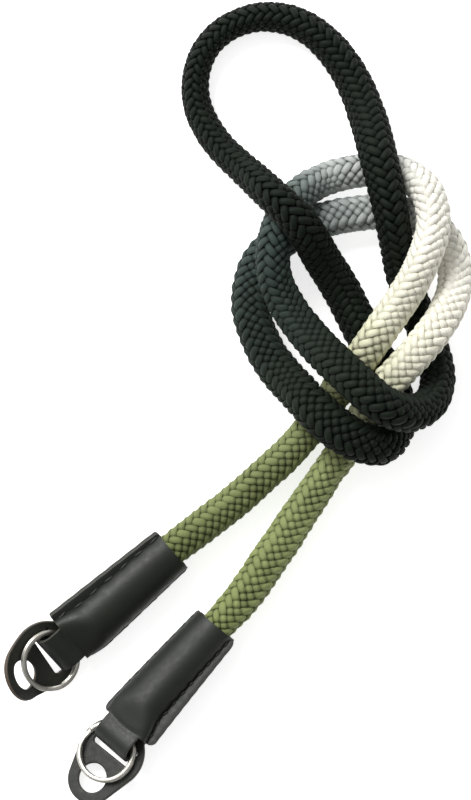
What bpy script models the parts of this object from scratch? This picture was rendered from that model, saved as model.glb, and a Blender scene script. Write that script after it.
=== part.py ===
"""Camera neck strap of round braided rope with two sewn leather ends, each with a tab and a split ring.

Metres, +Z up, lying on the plane z = 0. The rope is folded at its middle and tied in a loose doubled
overhand knot. The origin is the bottom centre of the box round the two leather ends and their rings.
"""

import math

import bmesh
import bpy
import numpy as np
from mathutils import Euler, Matrix, Vector
from mathutils.geometry import tessellate_polygon

MM = 0.001

# Driving sizes, in millimetres.
ROPE_RADIUS = 5.25
ROPE_BEVEL_STEPS = 4
ROPE_POINTS = 84
# Each point stands this share of the bend's depth outside it, so that the runs between them follow the curve.
CHORD_SHARE = 8

LEATHER = 1.2
SEAM_GAP = 0.2
SLEEVE_LENGTH = 49.7
FOLD_INSIDE = 7.2
NECK_LENGTH = 8.4
BULGE_STARTS_ROUND = 15.0
BULGE_RADIUS = 6.1
FLANGE_AT_NECK = 10.0
FLANGE_AT_MOUTH = 7.8

TAB_THICKNESS = 1.5
TAB_FRONT_RADIUS = 8.0
TAB_BACK_RADIUS = 10.8
TAB_BACK_CENTRE = 9.5
TAB_HOLE_RADIUS = 4.6
TAB_SLOT = (9.0, 15.2)
TAB_SLOT_HALF = 7.3
TAB_SLOT_CORNER = 0.7
TAB_PIVOT = 18.0

RING_OUTER = 9.5
RING_INNER = 8.0
RING_TURN = 0.9
RING_TURN_GAP = 0.1
RING_PIVOT_INSET = 0.25
RING_SEGMENT = 15
RING_STEP_HALF = 15

PIECE_GAP = 0.4

# The layout is traced round its own zero, and this puts the origin under the middle of the two leather ends.
LAYOUT_SHIFT = (35.545, 81.824)

# Each leather end: the front of its fold, the way its sleeve runs, and how it and its small parts are turned.
ENDS = {
    "a": {
        "front": (-57.1, -78.2, 7.25),
        "heading": 40.8,
        "slope": 0.0,
        "roll": 22.0,
        "neck_bulge": 7.4,
        "ring_back": 7.7,
        "ring_turn": 6.5,
        "ring_pitch": 14.0,
        "ring_split_at": 230,
        "tab_back": 7.5,
        "tab_turn": -8.0,
        "tab_bends": ((3.0, 4.0), (9.0, 10.0), (14.0, 12.0), (18.0, 25.0), (99.0, 52.0)),
        "color": (0.022, 0.025, 0.020, 1.0),
    },
    "b": {
        "front": (-38.3, -106.6, 7.75),
        "heading": 50.4,
        "slope": 1.1,
        "roll": -22.0,
        "neck_bulge": 7.7,
        "ring_back": 6.9,
        "ring_turn": -4.0,
        "ring_pitch": -3.0,
        "ring_split_at": 100,
        "tab_back": 7.5,
        "tab_turn": 2.2,
        "tab_bends": ((99.0, -3.0),),
        "color": (0.028, 0.031, 0.026, 1.0),
    },
}

# The rope's middle line from one sleeve's mouth to the other's, x, y and height in millimetres.
ROUTE = (
    # green leg a, on the floor up to the knot
    (-5.0, -35.5, 5.6),
    (8.0, -24.0, 5.4),
    (19.5, -14.0, 5.5),
    (25.8, -6.5, 5.45),
    (29.7, 0.2, 6.6),
    (34.0, 6.8, 10.9),
    # cream, over both dark legs, and round the top right
    (41.0, 16.8, 17.2),
    (47.0, 25.5, 17.4),
    (53.0, 34.5, 17.8),
    (57.7, 44.5, 18.0),
    (60.0, 54.0, 16.8),
    (58.0, 63.5, 12.9),
    (52.5, 68.8, 7.4),
    (45.5, 70.6, 5.4),
    # grey, on the floor under both dark legs
    (35.0, 69.8, 5.5),
    (27.0, 67.5, 6.0),
    (20.5, 63.6, 10.4),
    (15.6, 58.0, 14.3),
    # slate, over the other strand, then down the left side
    (12.2, 50.2, 16.6),
    (11.3, 42.0, 16.0),
    (13.0, 33.5, 13.6),
    (18.5, 23.7, 13.4),
    (26.5, 14.0, 19.6),
    # dark, over three strands at the bottom, then the turn at the right
    (35.0, 6.0, 25.8),
    (45.6, -2.4, 26.7),
    (54.4, -3.6, 19.2),
    (60.2, 0.6, 12.0),
    (61.8, 8.0, 7.4),
    (60.0, 16.0, 5.8),
    # right leg, up and out of the knot
    (52.8, 33.5, 5.8),
    (50.2, 42.5, 8.7),
    (47.7, 54.2, 15.9),
    (45.0, 66.5, 17.4),
    (42.7, 76.0, 15.0),
    (40.0, 87.5, 8.6),
    # the fold at the strap's middle
    (35.7, 99.5, 5.4),
    (29.0, 109.4, 5.0),
    (19.8, 115.8, 4.8),
    (9.3, 117.7, 4.6),
    (-1.0, 114.6, 4.5),
    (-9.0, 107.3, 4.5),
    (-12.4, 96.7, 4.6),
    (-10.6, 86.0, 5.6),
    # left leg, over the slate and grey strands, then down to the floor
    (-4.8, 77.3, 8.6),
    (3.0, 70.0, 14.6),
    (11.8, 61.8, 24.5),
    (19.8, 54.0, 24.7),
    (26.2, 44.8, 15.2),
    (33.4, 33.0, 6.8),
    (38.8, 22.4, 5.4),
    (44.5, 11.6, 5.3),
    (48.4, 3.7, 5.3),
    (50.4, -4.4, 6.2),
    # the turn at the bottom, over both green legs
    (48.8, -10.8, 9.6),
    (44.2, -14.4, 14.4),
    (36.6, -12.6, 18.2),
    (29.4, -7.6, 18.8),
    (22.5, -0.8, 15.5),
    (17.8, 4.5, 10.2),
    (11.8, 11.5, 6.6),
    (6.3, 22.0, 5.4),
    # outer strand, on the floor round the left and under the dark legs
    (4.4, 30.6, 5.3),
    (5.4, 39.0, 5.3),
    (8.7, 44.8, 5.3),
    (14.2, 49.2, 5.3),
    (20.8, 52.7, 5.3),
    (28.8, 55.6, 5.3),
    (42.6, 57.6, 5.3),
    (49.6, 57.4, 5.3),
    (56.2, 55.4, 5.3),
    (62.0, 51.4, 5.3),
    # white and cream, over the dark legs
    (65.8, 46.0, 5.8),
    (67.1, 38.4, 7.2),
    (65.4, 29.8, 11.9),
    (59.5, 20.0, 17.2),
    (52.4, 11.7, 17.4),
    (46.0, 4.7, 16.9),
    (42.1, -0.6, 14.0),
    (37.8, -7.4, 7.6),
    # green leg b, on the floor to its sleeve
    (31.4, -18.2, 5.6),
    (22.8, -29.7, 5.5),
    (13.0, -42.8, 5.4),
    (2.8, -58.0, 6.2),
)

# The rope is a little thinner where it is bent round at the strap's middle: place along it, and radius.
ROPE_THICKNESS = (
    (0.0, 5.0),
    (0.035, 5.0),
    (0.05, 5.25),
    (0.36, 5.25),
    (0.43, 5.1),
    (0.465, 4.75),
    (0.49, 4.5),
    (0.51, 4.45),
    (0.53, 4.7),
    (0.59, 5.1),
    (0.65, 5.25),
    (0.95, 5.25),
    (0.965, 5.0),
    (1.0, 5.0),
)


def clear_scene():
    for obj in list(bpy.data.objects):
        bpy.data.objects.remove(obj, do_unlink=True)


def material(name, color, roughness, metallic=0.0):
    made = bpy.data.materials.new(name)
    made.use_nodes = True
    shader = made.node_tree.nodes["Principled BSDF"]
    shader.inputs["Base Color"].default_value = color
    shader.inputs["Roughness"].default_value = roughness
    shader.inputs["Metallic"].default_value = metallic
    return made


def add_object(name, data, surface, parent=None):
    obj = bpy.data.objects.new(name, data)
    data.materials.append(surface)
    bpy.context.scene.collection.objects.link(obj)
    obj.parent = parent
    return obj


def mesh_from(name, points, faces):
    """A mesh with its faces turned outwards, from points in millimetres."""
    mesh = bpy.data.meshes.new(name)
    shape = bmesh.new()
    made = [shape.verts.new([value * MM for value in point]) for point in points]
    for face in faces:
        shape.faces.new([made[index] for index in face])
    bmesh.ops.recalc_face_normals(shape, faces=shape.faces)
    shape.to_mesh(mesh)
    shape.free()
    return mesh


def shade(mesh, sharp_degrees):
    mesh.shade_smooth()
    mesh.set_sharp_from_angle(angle=math.radians(sharp_degrees))


def blend(value, start, end):
    """0 before start and 1 after end, turning smoothly between them."""
    share = min(max((value - start) / (end - start), 0.0), 1.0)
    return share * share * (3 - 2 * share)


# Leather ends. Their own axes: x runs back from the fold's front to the rope's mouth, y across, z up.


def end_frame(end):
    """The empty that holds one leather end, with its own axes."""
    frame = bpy.data.objects.new("leather_end", None)
    bpy.context.scene.collection.objects.link(frame)
    x, y, z = end["front"]
    frame.location = ((x + LAYOUT_SHIFT[0]) * MM, (y + LAYOUT_SHIFT[1]) * MM, z * MM)
    turned = (math.radians(end["roll"]), math.radians(end["slope"]), math.radians(end["heading"]))
    frame.rotation_euler = Euler(turned, "XYZ")
    return frame


# Across the strip: shares of the bulge's half width, the neck's edge among them, and 2 for the flange's edge.
ACROSS = (0.0, 0.2, 0.4, 0.6, 0.8125, 0.9, 0.978, 1.0, 2.0)
NECK_EDGE = 4
FLANGE_HEIGHT = (LEATHER + SEAM_GAP) / 2
FOLD_RADIUS = (FOLD_INSIDE + LEATHER) / 2
FOLD_CENTRE = FOLD_RADIUS + LEATHER / 2
BODY_ROWS = (SLEEVE_LENGTH, 44.0, 38.0, 32.0, 26.0, 20.0, 16.5, 14.0, 12.0, 10.2, NECK_LENGTH)
NECK_ROWS = (6.6, FOLD_CENTRE)
FOLD_ANGLES = (67.5, 45.0, 22.5, 0.0, -22.5, -45.0, -67.5)


def body_point(back, share, neck_bulge):
    """Middle of the upper leather at this place: it swells from the flat neck to a round tube with flanges."""
    roundness = blend(back, NECK_LENGTH, BULGE_STARTS_ROUND)
    half = neck_bulge + (BULGE_RADIUS - neck_bulge) * roundness
    top = FOLD_RADIUS + (BULGE_RADIUS - FOLD_RADIUS) * roundness
    if share > 1:
        along = (SLEEVE_LENGTH - back) / (SLEEVE_LENGTH - NECK_LENGTH)
        return FLANGE_AT_MOUTH + (FLANGE_AT_NECK - FLANGE_AT_MOUTH) * along, FLANGE_HEIGHT
    power = 8.0 - 6.0 * roundness
    rise = (1 - share**power) ** (1 / power)
    return share * half, FLANGE_HEIGHT + (top - FLANGE_HEIGHT) * rise


def sleeve_rows(neck_bulge):
    """Rows of the strip from its upper mouth, round the fold, to its lower mouth: (columns, points)."""
    wide = list(range(len(ACROSS)))
    narrow = wide[: NECK_EDGE + 1]
    upper = []
    for back in BODY_ROWS:
        upper.append((wide, {k: (back, *body_point(back, ACROSS[k], neck_bulge)) for k in wide}))
    for back in NECK_ROWS:
        upper.append((narrow, {k: (back, ACROSS[k] * neck_bulge, FOLD_RADIUS) for k in narrow}))
    fold = []
    for degrees in FOLD_ANGLES:
        turn = math.radians(degrees)
        back = FOLD_CENTRE - FOLD_RADIUS * math.cos(turn)
        height = FOLD_RADIUS * math.sin(turn)
        fold.append((narrow, {k: (back, ACROSS[k] * neck_bulge, height) for k in narrow}))
    lower = []
    for columns, points in reversed(upper):
        lower.append((columns, {k: (x, y, -z) for k, (x, y, z) in points.items()}))
    return upper + fold + lower


def sleeve_mesh(name, neck_bulge):
    """One strip of leather folded round the ring: a sheet of its middle surface."""
    index = {}
    points = []
    rows = sleeve_rows(neck_bulge)
    for row, (columns, places) in enumerate(rows):
        for column in columns:
            for side in (-1, 1):
                x, y, z = places[column]
                if column == 0 and side == 1:
                    continue
                index[row, column * side] = len(points)
                points.append((x, y * side, z))
    faces = []
    for row in range(len(rows) - 1):
        reach = min(max(rows[row][0]), max(rows[row + 1][0]))
        for column in range(-reach, reach):
            corners = ((row, column), (row, column + 1), (row + 1, column + 1), (row + 1, column))
            faces.append([index[corner] for corner in corners])
    return mesh_from(name, points, faces)


def add_sleeve(key, end, frame):
    mesh = sleeve_mesh("sleeve_" + key, end["neck_bulge"])
    sleeve = add_object("sleeve_" + key, mesh, material("leather_" + key, end["color"], 0.5), frame)
    thick = sleeve.modifiers.new("thickness", "SOLIDIFY")
    thick.thickness = LEATHER * MM
    thick.offset = 0.0
    thick.use_even_offset = True
    shade(mesh, 40)
    return sleeve


# Protector tabs. Flat, a tab has its hole at zero, u towards the sleeve and v across.


def arc(centre, radius, start, end, count):
    points = []
    for step in range(count + 1):
        turn = math.radians(start + (end - start) * step / count)
        points.append((centre + radius * math.cos(turn), radius * math.sin(turn)))
    return points


def tab_outline():
    """A leaf: two round ends of different size with straight sides that touch both."""
    touch = math.degrees(math.acos((TAB_FRONT_RADIUS - TAB_BACK_RADIUS) / TAB_BACK_CENTRE))
    back = arc(TAB_BACK_CENTRE, TAB_BACK_RADIUS, -touch, touch, 18)
    front = arc(0.0, TAB_FRONT_RADIUS, touch, 360 - touch, 12)
    return back + front


def tab_slot():
    near, far = TAB_SLOT
    corner = TAB_SLOT_CORNER
    half = TAB_SLOT_HALF
    quarter = [(near + corner, half), (near, half - corner), (near, corner - half), (near + corner, -half)]
    return quarter + [(near + far - u, -v) for u, v in quarter]


def bend_profile(bends):
    """Where each flat band of a bent tab starts, forward of its pivot: distance, place, height and pitch."""
    start, forward, height = 0.0, 0.0, 0.0
    bands = []
    for end, degrees in bends:
        pitch = math.radians(degrees)
        bands.append((start, forward, height, pitch))
        forward += (end - start) * math.cos(pitch)
        height += (end - start) * math.sin(pitch)
        start = end
    return bands


def bent_point(bands, along, across, above):
    """A point of the flat tab after bending, in the leather end's directions."""
    number = max([k for k, band in enumerate(bands) if along >= band[0] - 1e-6] or [0])
    start, forward, height, pitch = bands[number]
    tilt, stretch = pitch, 1.0
    if number and along < start + 1e-6:
        half = (pitch - bands[number - 1][3]) / 2
        tilt, stretch = pitch - half, 1 / math.cos(half)
    forward += (along - start) * math.cos(pitch)
    height += (along - start) * math.sin(pitch)
    forward -= above * stretch * math.sin(tilt)
    height += above * stretch * math.cos(tilt)
    return Vector((-forward, across, height))


def tab_mesh(name, end):
    loops = [tab_outline(), arc(0.0, TAB_HOLE_RADIUS, 0, 345, 23), tab_slot()]
    flat = [point for loop in loops for point in loop]
    shape = bmesh.new()
    layers = []
    for height in (-TAB_THICKNESS / 2, TAB_THICKNESS / 2):
        layers.append([shape.verts.new((u, v, height)) for u, v in flat])
    lower, upper = layers
    for face in tessellate_polygon([[Vector((u, v, 0)) for u, v in loop] for loop in loops]):
        shape.faces.new([upper[k] for k in face])
        shape.faces.new([lower[k] for k in reversed(face)])
    first = 0
    for loop in loops:
        for step in range(len(loop)):
            k, after = first + step, first + (step + 1) % len(loop)
            shape.faces.new((lower[k], lower[after], upper[after], upper[k]))
        first += len(loop)
    for limit, _ in end["tab_bends"][:-1]:
        everything = shape.verts[:] + shape.edges[:] + shape.faces[:]
        crease = Vector((TAB_PIVOT - limit, 0, 0))
        bmesh.ops.bisect_plane(shape, geom=everything, plane_co=crease, plane_no=(1, 0, 0), dist=1e-5)
    bmesh.ops.triangulate(shape, faces=shape.faces)
    bands = bend_profile(end["tab_bends"])
    turn = Matrix.Rotation(math.radians(end["tab_turn"]), 3, "Z")
    middle = Vector((sum(TAB_SLOT) / 2 - TAB_PIVOT, 0, 0))
    for vert in shape.verts:
        u, v, height = vert.co
        vert.co = (middle + turn @ (bent_point(bands, TAB_PIVOT - u, v, height) - middle)) * MM
    bmesh.ops.recalc_face_normals(shape, faces=shape.faces)
    mesh = bpy.data.meshes.new(name)
    shape.to_mesh(mesh)
    shape.free()
    return mesh


TAB_HEIGHT = -FOLD_INSIDE / 2 + PIECE_GAP + TAB_THICKNESS / 2
RING_THICKNESS = 2 * RING_TURN + RING_TURN_GAP
RING_HEIGHT = TAB_HEIGHT + TAB_THICKNESS / 2 + PIECE_GAP + RING_THICKNESS / 2


def add_tab(key, end, frame):
    mesh = tab_mesh("tab_" + key, end)
    tab = add_object("tab_" + key, mesh, material("tab_leather_" + key, end["color"], 0.6), frame)
    tab.location = (end["tab_back"] * MM, 0, TAB_HEIGHT * MM)
    shade(mesh, 30)
    return tab


# Split rings: two flat turns of one wire, joined by a short ramp.


def ring_mesh(name, split_at):
    """The ring lies forward of its origin, which is where it hangs in the leather fold."""
    middle = (RING_OUTER + RING_INNER) / 2
    half_wide, half_high, corner = (RING_OUTER - RING_INNER) / 2, RING_TURN / 2, 0.22
    section = []
    for wide, high in ((half_wide, half_high - corner), (half_wide - corner, half_high)):
        section.append((wide, high))
    section += [(-wide, high) for wide, high in reversed(section)]
    section += [(-wide, -high) for wide, high in section]
    rise = (RING_TURN + RING_TURN_GAP) / 2
    first, last = RING_STEP_HALF + 4, 720 - RING_STEP_HALF - 4
    stations = [first] + list(range(30, 700, RING_SEGMENT)) + [last]
    forward = middle - RING_PIVOT_INSET
    points = []
    for degrees in stations:
        level = rise * (2 * blend(degrees, 360 - RING_STEP_HALF, 360 + RING_STEP_HALF) - 1)
        turn = math.radians(degrees + split_at)
        for wide, high in section:
            radius = middle + wide
            points.append((-forward + radius * math.cos(turn), radius * math.sin(turn), level + high))
    sides = len(section)
    faces = [list(range(sides)), list(range(len(points) - sides, len(points)))]
    for station in range(len(stations) - 1):
        for side in range(sides):
            a, b = station * sides + side, station * sides + (side + 1) % sides
            faces.append((a, b, b + sides, a + sides))
    return mesh_from(name, points, faces)


def add_ring(key, end, frame):
    mesh = ring_mesh("ring_" + key, end["ring_split_at"])
    ring = add_object("ring_" + key, mesh, material("steel_" + key, (0.72, 0.71, 0.68, 1.0), 0.25, 1.0), frame)
    ring.location = (end["ring_back"] * MM, 0, RING_HEIGHT * MM)
    ring.rotation_euler = Euler((0, math.radians(end["ring_pitch"]), math.radians(end["ring_turn"])), "XYZ")
    shade(mesh, 50)
    return ring


# The rope.


def axis_point(end, back):
    """A point on a sleeve's middle line, this far behind the front of its fold."""
    place = Vector(end["front"])
    heading, slope = math.radians(end["heading"]), math.radians(end["slope"])
    level = back * math.cos(slope)
    run = Vector((level * math.cos(heading), level * math.sin(heading), -back * math.sin(slope)))
    return tuple(place + run)


def rope_route():
    """Every point that the rope's middle line goes through, from inside one sleeve to inside the other."""
    start = [axis_point(ENDS["a"], back) for back in (16.0, 33.0, SLEEVE_LENGTH)]
    end = [axis_point(ENDS["b"], back) for back in (SLEEVE_LENGTH, 33.0, 16.0)]
    return np.array(start + list(ROUTE) + end)


def smooth_curve(points, count):
    """A natural cubic spline through the points, with count places along it."""
    gaps = np.linalg.norm(np.diff(points, axis=0), axis=1) ** 0.5
    knots = np.concatenate([[0.0], np.cumsum(gaps)])
    size = len(points)
    system, right = np.eye(size), np.zeros((size, 3))
    for k in range(1, size - 1):
        before, after = gaps[k - 1], gaps[k]
        system[k, k - 1 : k + 2] = before, 2 * (before + after), after
        right[k] = 6 * ((points[k + 1] - points[k]) / after - (points[k] - points[k - 1]) / before)
    bend = np.linalg.solve(system, right)
    places = np.linspace(0.0, knots[-1], count)
    k = np.clip(np.searchsorted(knots, places, side="right") - 1, 0, size - 2)
    span = gaps[k][:, None]
    from_left = (places - knots[k])[:, None]
    from_right = span - from_left
    curved = (bend[k] * from_right**3 + bend[k + 1] * from_left**3) / (6 * span)
    left = (points[k] / span - bend[k] * span / 6) * from_right
    return curved + left + (points[k + 1] / span - bend[k + 1] * span / 6) * from_left


def rope_points(count):
    """Points and radii along the rope, closer together where it bends more."""
    curve = smooth_curve(rope_route(), 4000)
    steps = np.linalg.norm(np.diff(curve, axis=0), axis=1)
    length = np.concatenate([[0.0], np.cumsum(steps)])
    ways = np.diff(curve, axis=0) / steps[:, None]
    turning = np.linalg.norm(np.diff(ways, axis=0), axis=1) / steps[1:]
    turning = np.convolve(np.concatenate([[0.0], turning, [0.0]]), np.ones(41) / 41, "same")
    weight = np.cumsum((0.012 + turning) ** 0.5 * np.gradient(length))
    even = np.linspace(weight[0], weight[-1], count)
    along = np.interp(even, weight, length)
    points = np.stack([np.interp(along, length, curve[:, axis]) for axis in range(3)], axis=1)
    inwards = (points[:-2] + points[2:]) / 2 - points[1:-1]
    points[1:-1] -= inwards / CHORD_SHARE
    radii = np.interp(along / length[-1], *zip(*ROPE_THICKNESS))
    return points, radii


def add_rope():
    curve = bpy.data.curves.new("rope", "CURVE")
    curve.dimensions = "3D"
    curve.bevel_depth = ROPE_RADIUS * MM
    curve.bevel_resolution = ROPE_BEVEL_STEPS
    curve.use_fill_caps = True
    points, radii = rope_points(ROPE_POINTS)
    spline = curve.splines.new("POLY")
    spline.points.add(len(points) - 1)
    shift = Vector((*LAYOUT_SHIFT, 0))
    for spot, place, radius in zip(spline.points, points, radii):
        spot.co = (*((Vector(place) + shift) * MM), 1.0)
        spot.radius = radius / ROPE_RADIUS
    return add_object("rope", curve, material("rope", (0.16, 0.20, 0.11, 1.0), 0.85))


def build():
    clear_scene()
    add_rope()
    for key, end in ENDS.items():
        frame = end_frame(end)
        frame.name = "leather_end_" + key
        add_sleeve(key, end, frame)
        add_tab(key, end, frame)
        add_ring(key, end, frame)


build()
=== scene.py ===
"""The looks of a rope camera neck strap: the braided rope, sewn leather ends, protector tabs and split rings.

Everything is in metres in the frame of the CAD model, +Z up, lying on the plane z = 0. Sizes are given in
millimetres, times MM.
"""

import math

import bmesh
import bpy
import numpy as np
from mathutils import Euler, Matrix, Vector
from mathutils.geometry import tessellate_polygon


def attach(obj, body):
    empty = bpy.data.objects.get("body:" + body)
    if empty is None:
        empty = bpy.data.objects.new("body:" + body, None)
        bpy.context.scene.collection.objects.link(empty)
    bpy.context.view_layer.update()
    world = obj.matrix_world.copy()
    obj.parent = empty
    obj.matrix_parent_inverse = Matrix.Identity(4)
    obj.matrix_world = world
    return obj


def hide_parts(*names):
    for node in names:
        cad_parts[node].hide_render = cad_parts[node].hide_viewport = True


MM = 0.001

# The photograph is 471 by 800 pixels, taken from straight above.
IMAGE_HEIGHT = 800
PIXELS_PER_MM = 3.25
CAMERA_HEIGHT = 1.2
SENSOR_HEIGHT = 24.0

# The rope's layout is traced round the middle of the photograph, which is here in the part's frame, in mm.
LAYOUT_SHIFT = (35.545, 81.824)

# Each leather end: the front of its fold, the way its sleeve runs, and how it and its small parts are turned.
# A tab's bends are its creases, by distance from its pivot, with the pitch before each. Corners are how long
# and how deep a flange's corner is rounded, on the -y side and on the +y side. mouth_aside is how far the
# sleeve bends sideways by its mouth. closed_side is rolled under, so that hardly any flange shows there.
ENDS = {
    "a": {
        "front": (-57.1, -78.2, 7.25),
        "heading": 40.8,
        "slope": 0.0,
        "roll": 22.0,
        "neck_bulge": 7.4,
        "ring_back": 7.7,
        "ring_turn": 6.5,
        "ring_pitch": 14.0,
        "ring_split_at": 230,
        "tab_back": 7.5,
        "tab_turn": -8.0,
        "tab_bends": ((3.0, 4.0), (9.0, 10.0), (14.0, 12.0), (18.0, 25.0), (99.0, 52.0)),
        "neck_corners": ((9.0, 2.6), (0.7, 0.7)),
        "mouth_corners": ((1.0, 1.0), (0.8, 0.8)),
        "mouth_aside": 0.0,
        "closed_side": -1,
        "stitch_pitch": 6.0,
    },
    "b": {
        "front": (-38.3, -106.6, 7.75),
        "heading": 50.4,
        "slope": 1.1,
        "roll": -22.0,
        "neck_bulge": 7.7,
        "ring_back": 6.9,
        "ring_turn": -4.0,
        "ring_pitch": -3.0,
        "ring_split_at": 100,
        "tab_back": 7.5,
        "tab_turn": 2.2,
        "tab_bends": ((99.0, -3.0),),
        "neck_corners": ((2.4, 2.0), (3.0, 1.2)),
        "mouth_corners": ((2.2, 2.0), (0.8, 0.8)),
        "mouth_aside": -1.3,
        "closed_side": 1,
        "stitch_pitch": 4.0,
    },
}

# The rope's middle line from one sleeve's mouth to the other's, x, y and height in millimetres.
ROUTE = (
    # green leg a, on the floor up to the knot
    (-5.0, -35.5, 5.6),
    (8.0, -24.0, 5.4),
    (19.5, -14.0, 5.5),
    (25.8, -6.5, 5.45),
    (29.7, 0.2, 6.6),
    (34.0, 6.8, 10.9),
    # cream, over both dark legs, and round the top right
    (41.0, 16.8, 17.2),
    (47.0, 25.5, 17.4),
    (53.0, 34.5, 17.8),
    (57.7, 44.5, 18.0),
    (60.0, 54.0, 16.8),
    (58.0, 63.5, 12.9),
    (52.5, 68.8, 7.4),
    (45.5, 70.6, 5.4),
    # grey, on the floor under both dark legs
    (35.0, 69.8, 5.5),
    (27.0, 67.5, 6.0),
    (20.5, 63.6, 10.4),
    (15.6, 58.0, 14.3),
    # slate, over the other strand, then down the left side
    (12.2, 50.2, 16.6),
    (11.3, 42.0, 16.0),
    (13.0, 33.5, 13.6),
    (18.5, 23.7, 13.4),
    (26.5, 14.0, 19.6),
    # dark, over three strands at the bottom, then the turn at the right
    (35.0, 6.0, 25.8),
    (45.6, -2.4, 26.7),
    (54.4, -3.6, 19.2),
    (60.2, 0.6, 12.0),
    (61.8, 8.0, 7.4),
    (60.0, 16.0, 5.8),
    # right leg, up and out of the knot
    (52.8, 33.5, 5.8),
    (50.2, 42.5, 8.7),
    (47.7, 54.2, 15.9),
    (45.0, 66.5, 17.4),
    (42.7, 76.0, 15.0),
    (40.0, 87.5, 8.6),
    # the fold at the strap's middle
    (35.7, 99.5, 5.4),
    (29.0, 109.4, 5.0),
    (19.8, 115.8, 4.8),
    (9.3, 117.7, 4.6),
    (-1.0, 114.6, 4.5),
    (-9.0, 107.3, 4.5),
    (-12.4, 96.7, 4.6),
    (-10.6, 86.0, 5.6),
    # left leg, over the slate and grey strands, then down to the floor
    (-4.8, 77.3, 8.6),
    (3.0, 70.0, 14.6),
    (11.8, 61.8, 24.5),
    (19.8, 54.0, 24.7),
    (26.2, 44.8, 15.2),
    (33.4, 33.0, 6.8),
    (38.8, 22.4, 5.4),
    (44.5, 11.6, 5.3),
    (48.4, 3.7, 5.3),
    (50.4, -4.4, 6.2),
    # the turn at the bottom, over both green legs
    (48.8, -10.8, 9.6),
    (44.2, -14.4, 14.4),
    (36.6, -12.6, 18.2),
    (29.4, -7.6, 18.8),
    (22.5, -0.8, 15.5),
    (17.8, 4.5, 10.2),
    (11.8, 11.5, 6.6),
    (6.3, 22.0, 5.4),
    # outer strand, on the floor round the left and under the dark legs
    (4.4, 30.6, 5.3),
    (5.4, 39.0, 5.3),
    (8.7, 44.8, 5.3),
    (14.2, 49.2, 5.3),
    (20.8, 52.7, 5.3),
    (28.8, 55.6, 5.3),
    (42.6, 57.6, 5.3),
    (49.6, 57.4, 5.3),
    (56.2, 55.4, 5.3),
    (62.0, 51.4, 5.3),
    # white and cream, over the dark legs
    (65.8, 46.0, 5.8),
    (67.1, 38.4, 7.2),
    (65.4, 29.8, 11.9),
    (59.5, 20.0, 17.2),
    (52.4, 11.7, 17.4),
    (46.0, 4.7, 16.9),
    (42.1, -0.6, 14.0),
    (37.8, -7.4, 7.6),
    # green leg b, on the floor to its sleeve
    (31.4, -18.2, 5.6),
    (22.8, -29.7, 5.5),
    (13.0, -42.8, 5.4),
    (2.8, -58.0, 6.2),
)

# The rope is a little thinner where it is bent round at the strap's middle: place along it, and radius.
ROPE_THICKNESS = (
    (0.0, 5.0),
    (0.035, 5.0),
    (0.05, 5.25),
    (0.36, 5.25),
    (0.43, 5.1),
    (0.465, 4.75),
    (0.49, 4.5),
    (0.51, 4.45),
    (0.53, 4.7),
    (0.59, 5.1),
    (0.65, 5.25),
    (0.95, 5.25),
    (0.965, 5.0),
    (1.0, 5.0),
)
ROPE_RADIUS = 5.25

# Both ends of the rope lie straight in their sleeves: how far behind the fold's front they end and pass.
ROPE_ENDS_BACK = 16.0
ROPE_PASSES_BACK = 33.0

# The spline is worked out at many places, the yarns at close ones, and the core and the cord's path at few.
CURVE_PLACES = 8000
YARN_STEP = 0.37
CORE_STEP = 4.0
PATH_STEP = 6.0

# The braid: nine yarns wind each way. They cross at eighteen places round the rope, and WEAVE says at each
# whether the yarn of the right-hand or the left-hand screw lies on top.
YARNS_EACH_WAY = 9
YARN_TURN = 26.6
WEAVE = "RRLRLL" * 3
YARN_WIDTH = 2.5
YARN_THICKNESS = 1.5
YARN_MIDDLE = 3.85
YARN_SWING = 0.85
YARN_CROWN = 0.15
YARN_FLATNESS = 0.9
CORE_RADIUS = 3.6
CORE_SIDES = 12

# Points round a yarn: the outer side has more of them. Each is an angle from the side, 90 being outermost.
YARN_SECTION = np.radians((-12, 38, 90, 142, 192, 270))

# A yarn is a little wider where it lies on top. Its lift and its width wander, and each has its own tone.
YARN_MEAN_WIDTH = 0.96
YARN_WIDER_ON_TOP = 0.06
YARN_WANDER_STEP = 3.0
YARN_LIFT_WANDER = 0.06
YARN_WIDTH_WANDER = 0.04
YARN_TONES = (0.93, 1.07)
BRAID_SEED = 12

# How far the braid is turned round the rope's middle line, in degrees, at places along it.
ROPE_TWIST = ((0, 0), (130, 0), (260, 56), (340, 60), (620, 60), (700, 66), (890, 31), (984, 31))

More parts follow.
